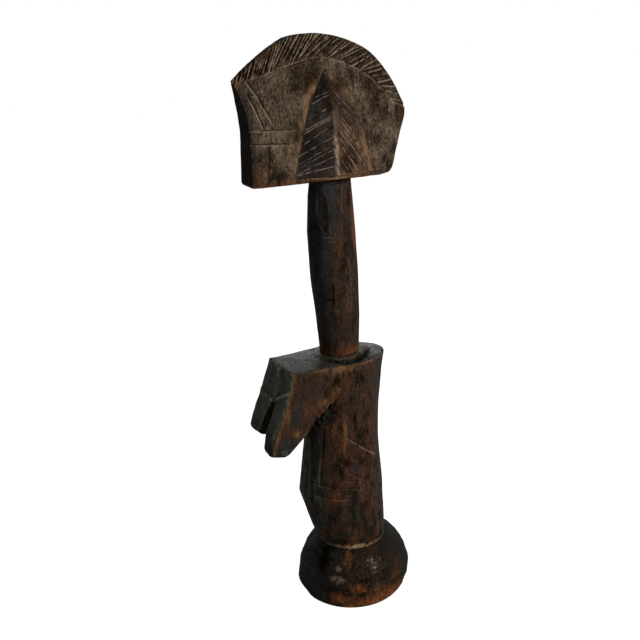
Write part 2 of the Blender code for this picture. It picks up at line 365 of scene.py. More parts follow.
def hatching(seed):
    """The oblique cuts across the crest's band, on one side of the head."""
    random = np.random.default_rng(seed)
    lean_table = sorted(HATCH_LEAN)
    cuts = []
    rim = np.array(CREST_RIM)
    legs = np.hypot(*np.diff(rim, axis=0).T)
    run = np.concatenate([[0], np.cumsum(legs)])
    place = 1.2
    while place < run[-1] - 1:
        y = np.interp(place, run, rim[:, 0])
        z = np.interp(place, run, rim[:, 1])
        around = math.degrees(math.atan2(z - CREST_MIDDLE[1], y - CREST_MIDDLE[0]))
        lean = np.interp(around, [row[0] for row in lean_table], [row[1] for row in lean_table])
        lean = math.radians(lean + random.uniform(-5, 5))
        steps = np.arange(0, 18, 0.25)
        inner = inside_outline(CHEEK_OUTLINE, y - steps * math.cos(lean), z - steps * math.sin(lean))
        reached = steps[np.argmax(inner > 0)] if (inner > 0).any() else 6
        reached = min(reached, 15)
        reached = max(reached * random.uniform(0.8, 1.12), 1.8)
        end = (y - reached * math.cos(lean), z - reached * math.sin(lean))
        width, depth = random.uniform(0.6, 1.05), random.uniform(0.4, 0.8)
        start = random.uniform(0, 0.12) if random.random() < 0.5 else 0
        begin = (y + (end[0] - y) * start, z + (end[1] - z) * start)
        cuts.append((begin, end, width, depth))
        place += np.interp(around, [25, 60, 90, 140], [3.4, 2.4, 1.7, 2.0]) * random.uniform(0.7, 1.35)
    return cuts


def wedge_cuts(seed):
    """The cuts on the wedge's two faces: down to the front on the one, and steeply back on the other."""
    random = np.random.default_rng(seed)
    front = [(258.7, 257.4), (255.8, 253.3), (254.6, 251), (249.4, 244.8), (245.6, 240.1), (244.6, 238.6)]
    front += [(241.4, 234.2), (236.7, 229.2), (233.6, 225.6), (231.6, 223.6), (228.9, 221.9), (224.6, 221.3)]
    cuts = []
    for top, low in front:
        y0 = along(top, WEDGE_RIDGE) - random.uniform(0, 1.6)
        y1 = along(low, WEDGE_FRONT) + random.uniform(0, 1.2)
        cuts.append(((y0, top), (y1, low), random.uniform(0.7, 1.1), random.uniform(0.35, 0.65)))
    back = [((-12.2, 259), (-5.6, 250.6)), ((-10.8, 256), (1.2, 244.4)), ((-10.6, 253.8), (2.6, 239.8))]
    back += [((-10.2, 248), (-1.1, 237.7)), ((-8.2, 243.5), (1.5, 231.4)), ((-7.3, 239.8), (3.2, 227.9))]
    back += [((-9, 236), (-2.3, 227.2)), ((-8, 231), (-1.1, 224.0)), ((1.6, 227.9), (5.6, 221.6))]
    back += [((-3.9, 241.5), (4.2, 227.5)), ((-9.4, 240), (-4.6, 233.0)), ((-6.4, 226), (-3, 221.5))]
    back += [((-8.6, 251.5), (-1.0, 241.0)), ((-9.6, 245.5), (0.4, 234.2)), ((-6.0, 236.5), (4.4, 222.6))]
    back += [((-8.8, 233.2), (-0.2, 221.6)), ((-2.4, 237.0), (4.6, 225.0)), ((-9.4, 227.5), (-5.6, 222.0))]
    for start, end in back:
        cuts.append((start, end, random.uniform(0.5, 0.9), random.uniform(0.3, 0.55)))
    return cuts


SCARS = [
    ((-48.8, 261.5), (-39.0, 244.0), 1.0, 0.5),
    ((-49.3, 256.7), (-43.4, 242.3), 0.9, 0.45),
    ((-48.3, 255.9), (-44.7, 255.6), 0.7, 0.3),
    ((-50.4, 241.6), (-29.0, 241.1), 0.8, 0.35),
    ((-50.4, 240.9), (-40.6, 241.5), 0.6, 0.3),
    ((-50.4, 236.2), (-31.2, 235.1), 0.7, 0.3),
]
BAND_CUTS = [(a, b, 0.8, 0.45) for a, b in zip(BAND_LINE[1:-2], BAND_LINE[2:-1])]
# A second, broken stroke just below the first.
BAND_CUTS += [
    ((y0 + 0.9, z0 - 1.5), (y1 - 0.4, z1 - 1.0), 0.6, 0.35)
    for (y0, z0), (y1, z1) in zip(BAND_LINE[2:-4:2], BAND_LINE[3:-3:2])
]
CRACKS = [((-41.2, 236.4), (-42.0, 230.6), 0.6, 0.4), ((-41.7, 231.2), (-42.1, 225.2), 0.8, 0.6)]
CRACKS += [((-42.4, 225.8), (-42.9, 219.4), 0.7, 0.5), ((-36.2, 229), (-36.9, 223), 0.5, 0.3)]


def cheek_half_thickness(side, y, z, rim):
    """Half the plate's thickness from the flat cheek, which thins to the face, the brow and the crest."""
    cheek = 7.9 - 0.045 * (z - 222)
    edge = along(z, [(218, 7.6), (231, 7.3), (240, 6.9), (248, 5.9), (256.5, 3.1), (262, 1.1)])
    if side > 0:
        edge = edge - along(z, [(218, 1.5), (240, 1.0), (250, 0)])
    cheek = -smooth_max(-cheek, -(edge + 0.45 * np.maximum(y - along(z, FACE_LINE), 0)), 0.8)
    nape_y = along(z, [(218, 18), (223.5, 19.9), (230, 21.8), (237, 24), (243.6, 26.4), (249, 28)])
    nape = along(z, [(218, 7), (231, 6), (240, 3.9), (247, 1.8)])
    cheek = -smooth_max(-cheek, -(nape + 0.5 * np.maximum(nape_y - y, 0)), 0.8)
    outside = -inside_outline(CHEEK_OUTLINE, y, z)
    band = np.clip(outside, 0, None) / np.maximum(np.clip(outside, 0, None) + np.clip(rim, 0, None), 0.01)
    edge_half = np.interp(y, [-54.8, -50, -40, -15, 10, 28], [0.9, 2.2, 2.9, 2.7, 2.4, 2.0])
    return cheek + (np.minimum(edge_half, cheek) - cheek) * band**1.15 * (outside > 0)


def wedge_half_thickness(y, z):
    """Half thickness to the wedge's two faces, falling away outside it."""
    front, ridge, back = along(z, WEDGE_FRONT), along(z, WEDGE_RIDGE), along(z, WEDGE_BACK)
    top = along(z, RIDGE_RISE)
    valley = along(z, [(266, 4.9), (258, 4.4), (240, 4.6), (228, 5.8), (221, 7.4)])
    heel = along(z, [(266, 4.9), (258, 5.6), (240, 6.7), (221, 7.9)])
    down = top - (top - valley) * (ridge - y) / np.maximum(ridge - front, 0.3)
    up = top - (top - heel) * (y - ridge) / np.maximum(back - ridge, 0.3)
    beyond = np.maximum(np.maximum(y - back, front - y) - 0.2, 0)
    return np.where(y < ridge, down, up) - 2 * beyond


def head_maps(side, y, z):
    """Half thickness of the plate and of the wedge on one side, less their cuts, and the way to the rim."""
    rim = inside_outline(HEAD_OUTLINE, y, z)
    plate = cheek_half_thickness(side, y, z, rim)
    front, shoulder = along(z, WEDGE_FRONT), along(z, WEDGE_SHOULDER)
    back = along(z, WEDGE_BACK)
    valley = along(z, [(266, 5.0), (258, 4.4), (240, 4.6), (228, 5.8), (221, 7.4)])
    slope = valley + (front - y) * (plate - valley) / np.maximum(front - shoulder, 0.4)
    recessed = np.where(y < front, -smooth_max(-plate, -slope, 0.5), valley)
    behind = along(z, [(266, 5.0), (258, 5.5), (240, 6.6), (221, 7.9)]) + (y - back) * 0.26
    recessed = np.where(y > back, -smooth_max(-plate, -behind, 0.6), recessed)
    low = (z < 265) & (z > WEDGE_FOOT - 2)
    plate = np.where(low & (y > shoulder - 1), recessed, plate)
    hatch_seed, wedge_seed = SIDE_SEEDS[side]
    depth = cut_depth(hatching(hatch_seed) + BAND_CUTS + SCARS + CRACKS, y, z)
    facing = cut_depth(wedge_cuts(wedge_seed), y, z)
    return plate - depth, wedge_half_thickness(y, z) - facing, rim


def head_field(x, y, z):
    flat_y, flat_z = y[0], z[0]
    field = None
    for side in (1, -1):
        plate, wedge, rim = head_maps(side, flat_y, flat_z)
        reach = np.maximum(side * x, -3)
        slab = smooth_max(reach - plate[None], -rim[None], 0.9)
        prism = np.maximum(smooth_max(reach - wedge[None], WEDGE_FOOT - z, 0.3), z - WEDGE_TOP)
        lip = np.maximum(reach - wedge[None] + 1.3, WEDGE_FOOT - 1.7 - z)
        lip = np.maximum(lip, z - WEDGE_FOOT - 2)
        lip = np.maximum(lip, np.abs(y + 15) - 11)
        groove = np.maximum(WEDGE_FOOT - 0.35 - z, z - WEDGE_FOOT) - 0.1
        lip = np.maximum(lip, -np.maximum(groove, wedge[None] - 2.3 - reach))
        half = np.minimum(np.minimum(slab, prism), lip)
        half = np.maximum(half, -(reach + 2))
        field = half if field is None else np.where(x > 0, field, half)
    return field


def head_relief(points):
    return 0.16 * lumps(points, (6, 5, 9), 31, 2) + 0.05 * lumps(points, (1.2, 1.2, 7), 32) - 0.02


def head_cuts(points):
    """The bare wood beside the head's knife cuts, and the floors of the crest's hatching."""
    bare, floor = np.zeros(len(points)), np.zeros(len(points))
    for side, (hatch_seed, wedge_seed) in SIDE_SEEDS.items():
        here = points[:, 0] > 0 if side > 0 else points[:, 0] <= 0
        hatch = hatching(hatch_seed)
        bare[here] = most(
            0.68 * on_cuts(beside(hatch, 0.4), points[here], -0.33),
            0.6 * on_cuts(BAND_CUTS, points[here], -0.3),
            0.66 * on_cuts(wedge_cuts(wedge_seed), points[here], -0.35),
        )
        floor[here] = on_cuts(hatch, points[here], 0.3)
    return most(bare, 0.5 * on_cuts(beside(SCARS, -0.45), points, -0.1)), floor


def wedge_areas(points, normals, rough, fine):
    """How far each place belongs to the wedge's faces, slope, ridge, heel and lip."""
    x, y, z = points.T
    front, ridge = along(z, WEDGE_FRONT), along(z, WEDGE_RIDGE)
    back, shoulder = along(z, WEDGE_BACK), along(z, WEDGE_SHOULDER)
    flank = (np.abs(normals[:, 0]) > 0.3) & (z < WEDGE_TOP) & (z > WEDGE_FOOT - 0.5)
    slope = ease(y, front, front - 0.6) * ease(y, shoulder - 1.5, shoulder + 1)
    lip = near(z - WEDGE_FOOT + 0.2, 0.9, 1.3) * (np.abs(x) > 5.6) * ragged(rough, 0.55, 1.2)
    return {
        "front": ease(y, front - 0.6, front + 0.6) * ease(y, ridge, ridge - 0.8) * flank,
        "toward_ridge": level((y - front) / np.maximum(ridge - front, 0.5)),
        "back": ease(y, ridge, ridge + 0.8) * ease(y, back + 0.3, back - 0.9) * flank,
        "slope": slope * ragged(rough, 0.45, 1.2) * flank,
        "low_ridge": near(y - ridge, 1.1, 1.4) * ease(z, 243, 239) * ragged(rough, 0.55, 1.6) * flank,
        "bright_ridge": near(y - ridge + 0.2, 0.9, 1.5) * ease(z, 240, 236) * ragged(fine, 0.6, 2.5) * flank,
        "low_heel": near(y - back + 1.2, 1.6) * ease(z, 241, 233) * flank,
        "high_heel": near(y - back - 1.6, 2.0, 1) * ease(z, 243, 248) * flank,
        "lip": lip * (np.abs(y + 13) < 17) * (normals[:, 2] > -0.8),
    }


def head_masks(points, normals, bend):
    x, y, z = points.T
    sideways = np.abs(normals[:, 0])
    broad = lumps(points, (8, 8, 8), 36, 2)
    middling = lumps(points, (3, 3, 4), 37, 3)
    rough = lumps(points, (2.5, 2.5, 5), 35, 3)
    fine = lumps(points, (0.8, 0.8, 1.4), 38, 2)
    wedge = wedge_areas(points, normals, rough, fine)
    bare, floor = head_cuts(points)
    broken = np.clip(0.72 + 1.5 * lumps(points, (1.8, 1.8, 1.8), 33, 2), 0.1, 1)
    cut = most(level(bare * 1.6) * broken * (sideways > 0.3), wedge["bright_ridge"])

    # worn and warm places round the plate
    nape = ease(y, 25.2, 26.4) * ease(z, 238, 241) * ease(z, 256, 253)
    chin = ease(z - 1.5 * rough, 219.8, 218.4)
    low_corner = patch(y, z, (-46, 220), 4.2, 9.3333) * ragged(rough, 0.6, 1.5)
    cheek = patch(y, z, (-30, 232), 8, 13, 1) * ragged(rough, 0.5, 1.5)
    band = ease(-inside_outline(CHEEK_OUTLINE, y, z), 0.2, 1.2) * (sideways > 0.2)
    brow_tip = patch(y, z, (-53.5, 260.5), 2.6, 2.6, 1.3)
    # painted light on the cheek behind the brow, where it turns from the light; the stain is thinned over the
    # same place
    behind_brow = ease(y, -30, -34) * ease(z, 236, 242) * ragged(rough, 0.8) * (1 - band)

    # dark places: painted shade on the face, beside it, on the wedge's front and below its foot; stains and
    # cracks
    # painted shade on the narrow face, which turns from the light, and on the cheek as it thins towards it
    face = ease(-normals[:, 1], 0.6, 0.85) * (y < -45)
    beside_face = level(1.15 - (y - along(z, FACE_LINE)) / 4.5) * ragged(rough, 0.75, 0.8)
    beside_face *= ease(z, 261, 258) * np.clip((z - 219) / 6, 0.3, 1)
    # painted shade on the wedge's front face, turned from the light, deepest in its valley
    front_dark = level(1.2 - 0.5 * wedge["toward_ridge"] + 0.7 * rough)
    back_dark = np.clip((z - 236) / 16, 0.3, 0.55)
    # painted shade on the downturned surfaces below the wedge's foot
    under = (z < WEDGE_FOOT - 0.4) & (np.abs(x) < 9) & (np.abs(y + 10) < 14) & (normals[:, 2] < -0.5)
    crack = on_cuts(CRACKS + SCARS, points, 0.1) * (sideways > 0.3)
    stain = 0.6 * level(1.8 * middling + 1.6 * broad + 0.1)
    stain *= 1 - 0.6 * ease(y, -27, -32) * ease(z, 236, 241)
    # darker in hollows: dirt and painted shade
    hollow = level(-bend / 0.08 - 0.3) * (1 - bare)
    # dirt and painted shade in hollows and on the hatched band, dirt in cuts, cracks and stains, painted
    # shade under the wedge and on the face
    grime = most(
        hollow * 0.6,
        band * ragged(rough, 0.4, 0.9),
        floor * level(0.9 - cut) * 0.9,
        crack,
        under * 0.9,
        stain,
        face * 0.5,
    )
    return {
        "cut": cut,
        "worn": most(
            level(bend / 0.1 - 0.5) * 0.5,
            wedge["low_ridge"],
            wedge["lip"],
            wedge["low_heel"] * 0.7,
            wedge["slope"] * 0.6,
            wedge["high_heel"] * 0.35,
            cheek * 0.35,
            brow_tip * 0.6,
        ),
        "rust": most(
            nape,
            chin * 0.8,
            low_corner,
            wedge["lip"] * 0.6,
            wedge["low_ridge"] * 0.5,
            wedge["low_heel"] * 0.5,
            wedge["back"] * 0.32,
            band * ease(y, -26, -38) * 0.3,
        ),
        "plum": wedge["front"] * level(0.35 + 1.2 * rough + 0.8 * wedge["toward_ridge"]) * 0.9,
        # painted shade on the face, beside it and on the wedge's front face; the wedge's back face darker
        # towards its top
        "dark": most(face, beside_face * 0.75, wedge["front"] * front_dark, wedge["back"] * back_dark),
        "grime": grime * (1 - wedge["lip"]),
        # pale: the wood's lighter patches, and the painted brow light
        "pale": most(level(0.15 - 2.2 * broad - 1.4 * middling) * (1 - 0.6 * band) * 0.75, 0.5 * behind_brow),
    }


# ---------------------------------------------------------------- columns


def column_field(x, y, z, sections, corners, blend):
    """A leaning column from (height, front, back, half width) rows. Corners are the angles, round from
    the front, at which its flat sides meet on the ellipse through those reaches."""
    heights = [row[0] for row in sections]
    front = np.interp(z, heights, [row[1] for row in sections]).astype(np.float32)
    back = np.interp(z, heights, [row[2] for row in sections]).astype(np.float32)
    half_width = np.interp(z, heights, [row[3] for row in sections]).astype(np.float32)
    half_depth = (back - front) / 2
    u, v = x / half_width, (y - (front + back) / 2) / half_depth
    scale = (half_width + half_depth) / 2
    field = None
    for start, end in zip(corners, corners[1:] + [corners[0] + 360]):
        middle, spread_angle = math.radians((start + end) / 2), math.radians((end - start) / 2)
        plane = (u * math.sin(middle) - v * math.cos(middle) - math.cos(spread_angle)) * scale
        field = plane if field is None else smooth_max(field, plane, blend)
    return field


# ---------------------------------------------------------------- neck

NECK = [
    (131, -17.4, 4.2, 9.6),
    (133.8, -17.4, 4.2, 9.6),
    (150, -18.8, 4.6, 9.8),
    (172, -21.4, 4.2, 10.2),
    (194, -22.3, 2.8, 10.4),
    (210, -21.5, 1.4, 9.8),
    (217.7, -20.5, 0.7, 9.2),
    (220, -20.2, 0.4, 9.0),
]
NECK_CORNERS = list(range(0, 360, 30))
NECK_LOW, NECK_HIGH = 132.2, 219.4
# Flats along the neck: middle, which way each faces, half length, half width, depth and lean.
NECK_FLATS = [
    ((7.6, -15.9, 205), (0.66, -0.75, 0), 9.0, 3.4, 0.25, 6),
    ((9.8, -8.0, 172), (0.95, -0.3, 0), 10, 2.8, 0.15, 3),
    ((8.8, -12.6, 152), (0.8, -0.6, 0.06), 8, 2.6, 0.2, 0),
    ((9.5, -3.0, 197), (0.97, 0.2, 0), 13, 2.6, 0.22, 2),
    ((8.8, 0.2, 160), (0.86, 0.5, 0), 16, 2.8, 0.25, -2),
    ((4.6, -19.2, 190), (0.42, -0.9, 0), 13, 2.8, 0.2, 2),
    ((4.2, -19.0, 160), (0.4, -0.92, 0), 15, 2.8, 0.2, 0),
    ((9.4, -6.0, 143), (0.98, -0.1, 0), 6, 3.2, 0.25, 8),
    ((-7.9, -13.6, 200), (-0.75, -0.66, 0), 10, 3.2, 0.4, 2),
    ((-9.0, -9.6, 168), (-0.9, -0.42, 0), 13, 2.8, 0.3, 2),
    ((-8.8, 0.2, 188), (-0.86, 0.5, 0), 14, 3.0, 0.25, -2),
    ((-8.2, 0.8, 152), (-0.8, 0.6, 0), 10, 2.8, 0.3, 3),
    ((2.4, 3.8, 178), (0.3, 0.95, 0), 18, 3.2, 0.25, 0),
    ((-3.2, 3.6, 154), (-0.35, 0.94, 0), 13, 3.0, 0.25, 0),
]
NECK_SCRATCHES = [
    ((-17, 192.4), (-11.4, 192.0), 0.8, 0.3),
    ((-16.4, 190.2), (-12.6, 190.4), 0.6, 0.25),
    ((-5.2, 182), (-3.8, 166), 0.5, 0.2),
    ((-8.2, 215), (-8.6, 203), 0.5, 0.2),
]
NECK_CRACKS = [((-13.4, 171), (-13.0, 159), 0.9, 0.4), ((-16.4, 162.4), (-11.6, 162.2), 0.7, 0.3)]
# Heights and Y of the line between the neck's front, painted in shade, and its warm side.
NECK_EDGE = [(133, -12.0), (145, -13.2), (163, -15.2), (182, -14.6), (203, -11.4), (218, -9.5)]


def neck_field(x, y, z):
    field = column_field(x, y, z, NECK, NECK_CORNERS, 3.2)
    field = smooth_max(field, NECK_LOW - z, 0.3)
    field = smooth_max(field, z - NECK_HIGH, 0.3)
    for flat in NECK_FLATS:
        field = dish(field, x, y, z, *flat)
    return field + (x > 0) * cut_depth(NECK_SCRATCHES + NECK_CRACKS, y[0], z[0])[None]


def neck_relief(points):
    return 0.10 * lumps(points, (4, 4, 10), 41, 2) + 0.06 * lumps(points, (1.1, 1.1, 14), 42)


def neck_masks(points, normals, bend):
    x, y, z = points.T
    left = x > 0
    rough = lumps(points, (2.2, 2.2, 5), 43, 3)
    fine = lumps(points, (0.7, 0.7, 1.2), 44, 2)
    edge = along(z, NECK_EDGE)
    foot = ease(z, 141, 135) * ragged(rough, 0.55, 1.5)
    streak = near(y + 1.4 + 0.03 * (z - 200), 1.5) * ease(z, 184, 190) * ease(z, 214, 210)
    warm = most(patch(y, z, (-6, 160), 3, 9), 0.8 * patch(y, z, (-9.5, 186), 1.6, 10))
    warm = warm * ragged(rough, 0.4, 1.8)
    flecks = patch(y, z, (-5.8, 160), 2.2, 5, 1.3) * ragged(fine, -0.2, 3) * left
    beside_edge = near(y - edge - 3, 1.8, 1.3) * ragged(rough, 0.5, 1.5) * left
    # painted shade on the neck's front, which turns from the light, weaker near the foot
    front = level((edge - y) / 2.4 + 0.5 + 1.3 * rough) * np.clip(1.3 - (156 - z) / 14, 0.4, 1)
    return {
        "cut": most(on_cuts(NECK_SCRATCHES, points, 0.1) * left, flecks) * 0.7,
        "worn": most(level(bend / 0.09 - 0.45) * 0.35, foot * 0.3, beside_edge * 0.22),
        "rust": most(streak * 0.9, foot * 0.7, warm * 0.7),
        "plum": ease(y, edge + 2, edge - 1) * ease(z, 164, 158) * ragged(rough, 0.6) * 0.8,
        # painted shade on the front, and the rear darker
        "dark": most(front * 0.95, ease(y, 0.6, 2.2) * 0.8),
        # darker in hollows (dirt and painted shade), in cracks, at the top under the head, and at random
        "grime": most(
            level(-bend / 0.09 - 0.5) * 0.5,
            on_cuts(NECK_CRACKS, points, 0.4) * left,
            ease(z, 215.6, 218.1),
            np.clip(rough, 0, 0.4),
        ),
    }


# ---------------------------------------------------------------- torso

TORSO = [
    (26, -20.2, 16.4, 18.2),
    (29.8, -20.6, 16.6, 18.4),
    (37, -23.4, 16.8, 18.2),
    (58.5, -30.0, 16.2, 17.0),
    (85, -26.7, 13.8, 15.4),
    (104, -25.4, 14.2, 14.8),
    (129, -24.0, 16.8, 14.0),
    (134, -24.0, 16.8, 14.0),
]
TORSO_CORNERS = [0, 17, 39, 66, 92, 117, 143, 168, 195, 222, 246, 270, 296, 321, 343]
TORSO_LOW = 28.9
SHOULDER = 131
SHOULDER_ARC = [(14 * math.cos(a), -6 + 23.3 * math.sin(a)) for a in np.linspace(0, math.pi, 17)]
SHOULDER_OUTLINE = SHOULDER_ARC + [(-12.2, -39.3), (0, -39.0), (12.0, -36.6)]
# The chest's front: (height, Y) at its right edge, its middle and its left edge.
CHEST_RIGHT = [
    (133, -39.2), (129, -40.2), (123, -42.8), (114.8, -45.9), (109, -48.7), (104, -50.4), (98.8, -51.7),
    (94, -52.2),
]  # fmt: skip
CHEST_MIDDLE = [
    (133, -38.8), (128, -39.3), (123.9, -39.8), (113.6, -42.9), (104.1, -46.6), (97.2, -48.8), (88, -50.2),
]  # fmt: skip
CHEST_LEFT = [
    (133, -36.4), (129, -36.9), (123.5, -38.3), (114.5, -40.9), (108.1, -43.7), (102.6, -46.8),
    (92.6, -49.9), (86, -50.4),
]  # fmt: skip
CLEFT_TOP = 113.8


def from_neck(x, y):
    """Roughly how far a place on the shoulders is from the foot of the neck."""
    return (np.hypot(x / 10.6, (y + 6.6) / 12) - 1) * 11


def chest_field(x, y, z):
    """The chest and both breasts as one keel under the shoulders, before it is cleft in two."""
    left, middle, right = (along(z, rows) for rows in (CHEST_LEFT, CHEST_MIDDLE, CHEST_RIGHT))
    share = np.clip(np.abs(x) / 12, 0, 1.2)
    front = middle + (np.where(x > 0, left, right) - middle) * share - y
    flank = np.abs(x) - (14 - 2 * np.clip((-6 - y) / 31.5, 0, 1.35))
    field = smooth_max(front * 0.93, flank, 1.5)
    field = smooth_max(field, np.where(x > 0, 88.6, 95.2) - 0.2 * (y + 49) - z, 3.6)
    field = smooth_max(field, (y - z + np.where(x > 0, 128.6, 135)) * 0.707, 1.2)
    return smooth_max(field, z - 130.5, 1)


def chest_hollows(x, z):
    """Depth of the flats beside the chest's middle rib, above and below two raised chevrons."""
    aside = np.abs(x)
    chevron = CLEFT_TOP + aside * np.where(x > 0, 0.66, 0.2)
    inward = ease(12.0 - aside, 0, np.where(x > 0, 2.8, 6))
    above = 1.1 * ease(z - chevron, 0.4, 2.0) * ease(130.8 - z, 0, 2.5) * ease(aside, 0.6, 2.2)
    below = 0.7 * ease(chevron - z, 0.4, 2.0) * ease(z, 99, 106)
    return (above + below) * inward


def bare_torso_field(x, y, z):
    """The column, the shoulders and the chest, before the small knife work."""
    field = column_field(x, y, z, TORSO, TORSO_CORNERS, 1.3)
    field = smooth_max(field, z - 130, 1)
    # shoulders
    plan = inside_outline(SHOULDER_OUTLINE, x[:, :, 0], y[:, :, 0])
    seat = np.maximum(from_neck(x[:, :, 0], y[:, :, 0]), 0)
    share = seat / np.maximum(seat + np.clip(plan, 0, None), 0.01)
    crown = 133.3 - 2.3 * np.clip(share, 0, 1)
    beside = np.clip((y[:, :, 0] + 14) / 8, 0, 1) * np.clip((x[:, :, 0] + 2) / 6, 0, 1)
    trough = 1.1 * np.exp(-(((seat - 1.9) / 1.0) ** 2))
    collar = 0.4 * np.exp(-(((seat - 0.3) / 0.5) ** 2))
    crown = crown - (trough - collar) * (0.15 + 0.85 * beside)
    slab = smooth_max(-plan[:, :, None] + 0.22 * np.maximum(SHOULDER - z, 0), z - crown[:, :, None], 1.0)
    slab = smooth_max(slab, 116 - z, 1)
    field = smooth_min(field, slab, 1.2)
    # the chest, then the cleft between the breasts, which is a slot that deepens downward
    field = smooth_min(field, chest_field(x, y, z), 0.5)
    gap = 0.25 + along(z, [(CLEFT_TOP, 0), (104, 1.8), (97, 2.9), (86, 3.7)])
    cleft = np.maximum(np.abs(x + 0.3) - gap, z - CLEFT_TOP)
    cleft = smooth_max(cleft, y + 31.5 + 0.8 * np.maximum(z - 104, 0), 0.5)
    field = smooth_max(field, -cleft, 0.6)
    return field + (y < -33) * chest_hollows(x[:, :, 0], z[0])[:, None, :]


SIDE_SCRATCHES = [
    ((-21.5, 100.6), (-9.1, 90.8), 0.7, 0.3),
    ((-9.1, 90.8), (-2.6, 85.4), 0.8, 0.4),
    ((-2.6, 85.4), (7.0, 77.6), 0.9, 0.4),
]
SCAR_LINES = [
    ((-27.5, 68.4), (-20.7, 66.6), 1.0, 0.4),
    ((-20.7, 66.6), (-4.2, 63.6), 0.9, 0.4),
    ((-4.2, 63.6), (5.9, 61.6), 0.9, 0.35),
    ((-27.0, 61.8), (-21.1, 60.4), 0.8, 0.35),
    ((-21.1, 60.4), (-6.2, 58.3), 0.9, 0.4),
    ((-14, 70.0), (-2, 66.6), 0.8, 0.3),
    ((-10, 73.0), (2.5, 65.0), 0.6, 0.25),
    ((-16, 64.0), (-9, 60.6), 0.6, 0.25),
]
ARMPIT_CUTS = [
    ((-30.5, 99.5), (-20.5, 108.8), 1.6, 0.9),
    ((-25.6, 106.5), (-22.4, 98.2), 2.0, 1.1),
    ((-28.4, 103.2), (-24.2, 95.4), 1.1, 0.7),
    ((-23.6, 108.2), (-20.4, 101.5), 1.0, 0.6),
    ((-20.5, 108.8), (-15.2, 113.6), 1.2, 0.6),
]
# Long grooves down the belly, placed by X.
FRONT_GROOVES = [
    ((12.2, 88), (12.6, 66), 1.0, 0.2),
    ((9.6, 98), (10.0, 62), 1.2, 0.45),
    ((6.4, 92), (6.0, 67), 1.0, 0.35),
    ((2.6, 90), (2.0, 61), 1.2, 0.4),
    ((-3, 92), (-3.6, 66), 1.2, 0.4),
    ((-8.4, 94), (-8.8, 64), 1.1, 0.35),
]


TORSO_FLATS = [
    ((15.0, -11, 88), (1, -0.2, -0.03), 9, 4.5, 0.25, 6),
    ((15.1, -2, 100), (1, 0.1, 0), 11, 4, 0.25, -4),
    ((15.4, 4, 80), (0.95, 0.3, 0), 10, 4, 0.25, 3),
    ((12.9, -19.4, 84), (0.72, -0.7, -0.04), 8, 3.0, 0.25, 2),
    ((14.2, -21, 46), (0.75, -0.62, -0.25), 7, 4, 0.3, -5),
    ((6, -27.6, 74), (0.3, -0.95, 0.1), 9, 4.5, 0.3, 0),
    ((-6, -27.6, 76), (-0.3, -0.95, 0.1), 9, 4.5, 0.3, 0),
    ((0, -24.8, 42), (0, -0.95, -0.3), 10, 9, 0.5, 0),
    ((13.8, -22, 112), (1, -0.1, 0), 8, 6, 0.3, 40),
    ((-15.2, -8, 90), (-1, -0.1, 0), 12, 5.5, 0.3, 3),
    ((-15.4, 4, 80), (-0.95, 0.3, 0), 11, 5, 0.3, -3),
    ((-17.2, -6, 45), (-1, 0, 0), 9, 7, 0.5, 6),
    ((5, 14.2, 92), (0.3, 0.95, 0), 13, 5, 0.3, 2),
    ((-6, 14.0, 82), (-0.35, 0.94, 0), 11, 5, 0.3, -2),
    ((0, 16.5, 48), (0, 1, 0), 12, 6, 0.4, 0),
]
# Heights and Y of the line between the belly's front, painted in shade, and its side.
BELLY_EDGE = [(30, -17), (58, -22), (73, -22.5), (85, -21.5), (96, -22), (104, -24)]
# How far the left breast's front, painted in shade, wraps onto its side, by height.
BREAST_WRAP = [(88, 1.6), (96, 1.8), (104, 1.5), (112, 0.6), (117, 0)]
# Patches on the left side, each a (Y, Z) middle, a half width and a half height.
DARK_PATCHES = [
    ((-23.5, 84), 2.2, 11), ((-6.4, 74.3), 2.6, 4), ((-26, 64.5), 5, 3.0), ((-18, 106), 3.0, 5),
    ((3.8, 120), 3, 7), ((-35.0, 109), 3.6, 9.5), ((-27.2, 120), 3.4, 4.4), ((-42.8, 97.6), 2.4, 5),
    ((-9.4, 49), 7, 8), ((-26.2, 104.5), 3, 3.5), ((-14, 38), 5, 3),
]  # fmt: skip
WARM_PATCHES = [
    ((-11, 93), 1.4, 12), ((-16, 60), 6, 4), ((7, 36), 2, 4), ((-22, 80), 1.5, 4), ((-19.5, 37), 3, 4),
    ((-38.8, 119), 1.4, 6), ((-37.2, 127), 2.5, 3), ((-16, 98), 1.2, 8), ((-26, 112), 7, 1.4),
]  # fmt: skip
TAN_PATCHES = [
    ((-39.8, 110.8), 1.6, 5), ((-21.9, 113.4), 4, 2.2), ((-15.6, 118.1), 3, 2.4), ((-35.6, 99), 2, 3.5),
]  # fmt: skip


def armpit(y, z):
    """1 where the wood is torn below the back of the left breast."""
    torn = most(patch(y, z, (-20.5, 106), 5, 6.5, 1.3), patch(y, z, (-16.5, 108.5), 4, 5, 1.3))
    return torn * (y - z > -130.4)


def neck_ring(x, y, z, away):
    """1 on a ring so far from the neck's foot, on the left side of the shoulders."""
    ring = near(from_neck(x, y) - away, 1.8, 1.4) * (z > 129)
    return ring * ease(y, -21, -15) * ease(x, 1, 5) * ease(y, 12, 6)


